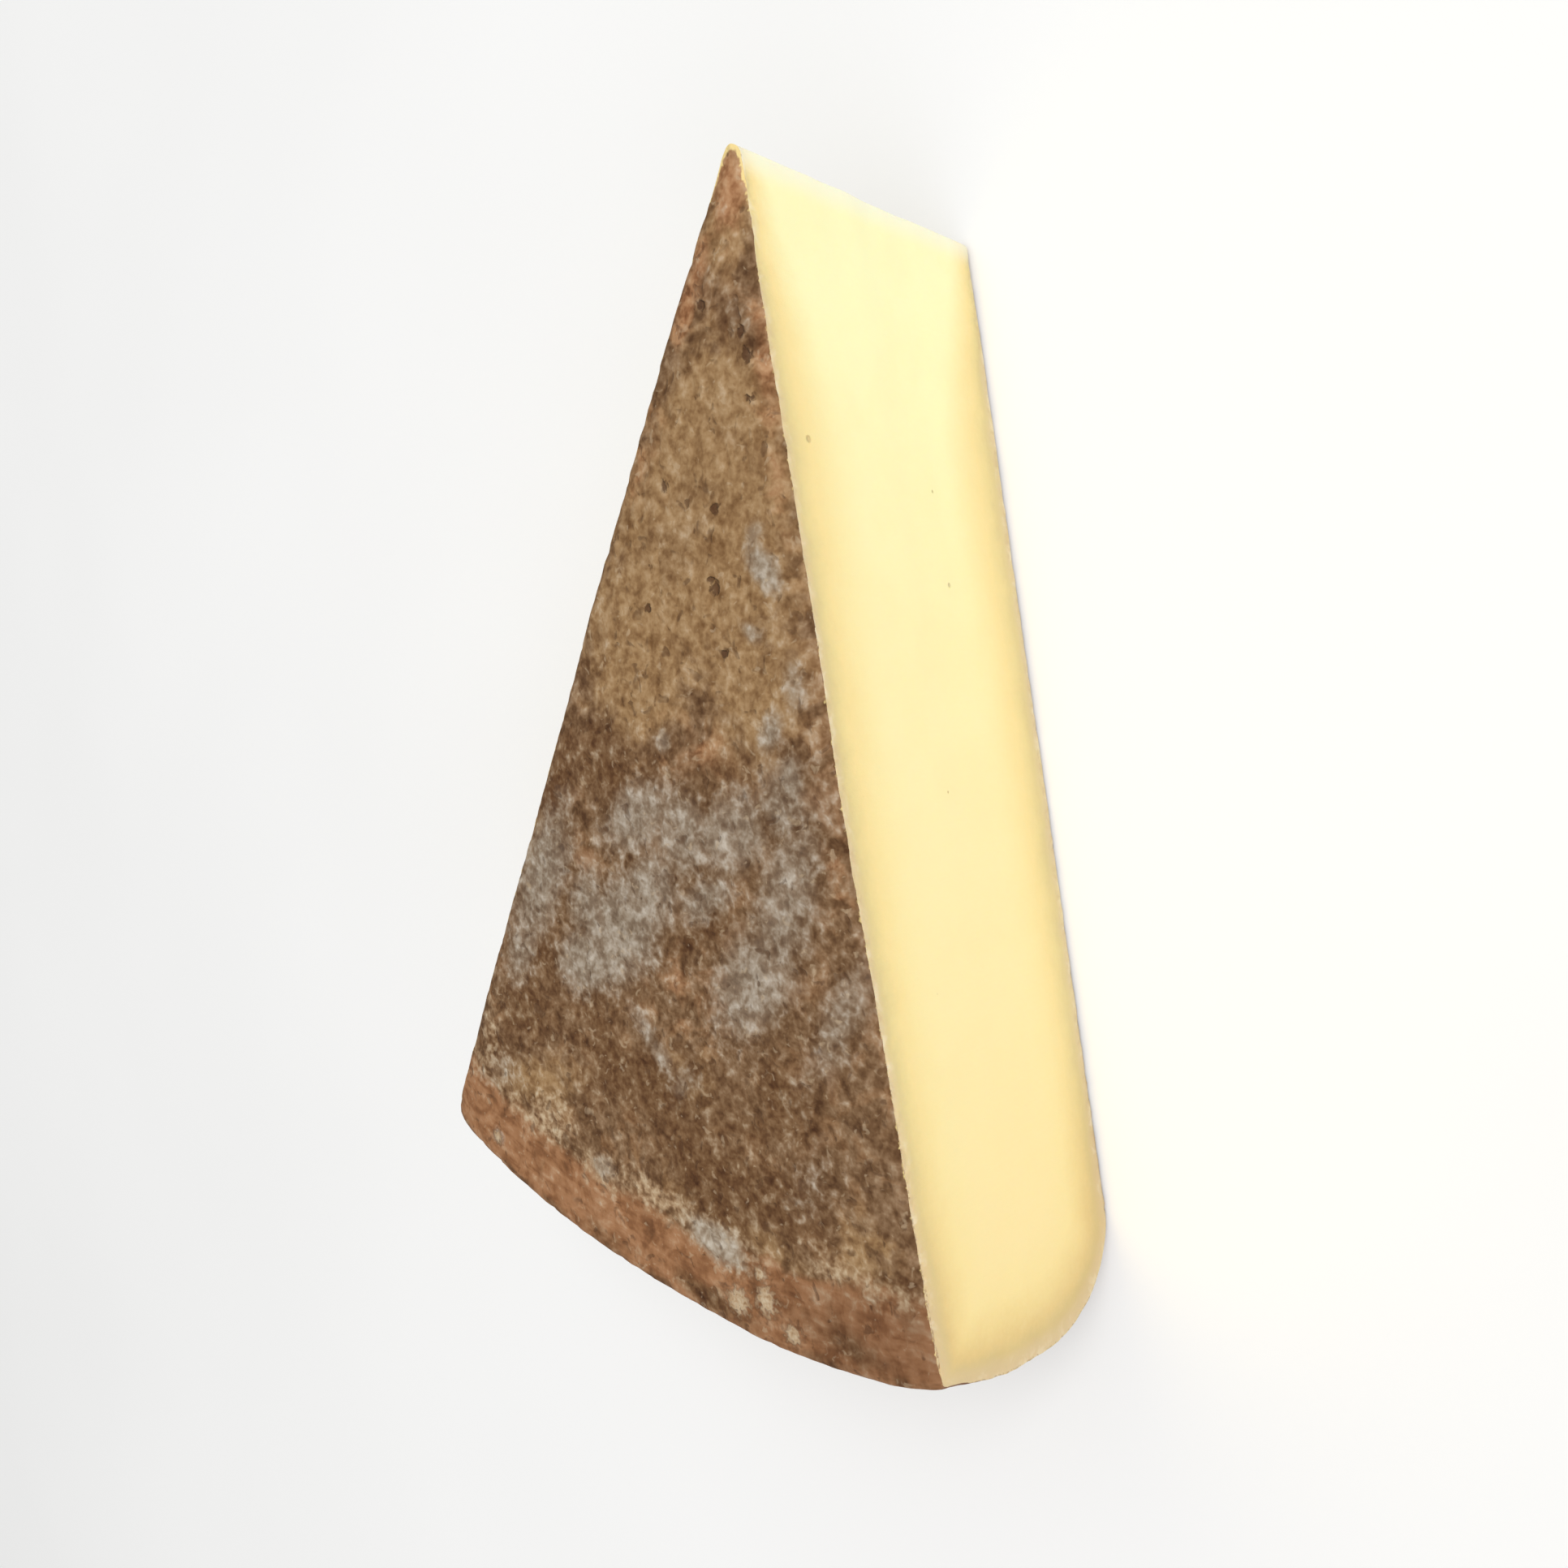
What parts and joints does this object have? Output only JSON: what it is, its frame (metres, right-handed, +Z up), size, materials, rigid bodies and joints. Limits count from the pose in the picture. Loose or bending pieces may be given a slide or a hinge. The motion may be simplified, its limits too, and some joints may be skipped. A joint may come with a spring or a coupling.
{
  "type": "cheese wedge",
  "caption": "Wedge cut from a wheel of washed-rind semi-hard cheese, lying on its flat face, with mottled brown rind and pale yellow paste.",
  "frame": {"origin": "on the flat lower face, under the middle of the wedge's box", "axes": "+X from the heel along the wedge's middle line to its point, +Z up from the lower face to the domed upper face, cut faces to either side of Y"},
  "size_m": [0.1764, 0.1112, 0.0592],
  "materials": {
    "cheese": "matte brown washed rind outside, smooth waxy pale yellow paste on the cut faces"
  },
  "bodies": {
    "root": {"cheese_wedge": "cheese"}
  },
  "joints": []
}
